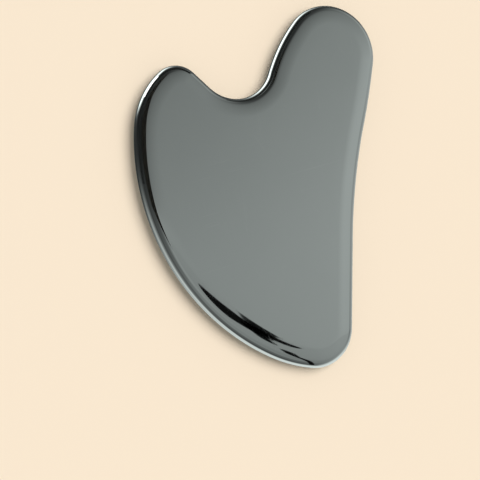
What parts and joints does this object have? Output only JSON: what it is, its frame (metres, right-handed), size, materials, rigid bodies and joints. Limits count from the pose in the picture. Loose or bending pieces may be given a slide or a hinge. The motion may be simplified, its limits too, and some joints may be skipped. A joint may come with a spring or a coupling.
{
  "type": "gua sha scraper",
  "caption": "Flat, lopsided heart-shaped massage plate of polished steel with a fully rounded rim: a long and a short lobe with a notch between them, a bulging side and a waisted side.",
  "frame": {"origin": "middle of the overall box, on the back face that the plate lies on", "axes": "+Y along the length towards the long lobe, +X across the width towards the waisted side, +Z through the thickness out of the front face"},
  "size_m": [0.07, 0.1, 0.0052],
  "materials": {
    "polished_steel": "mirror-polished solid stainless steel, with faint hairline scratches from use"
  },
  "bodies": {
    "root": {"scraper_plate": "polished_steel"}
  },
  "joints": []
}
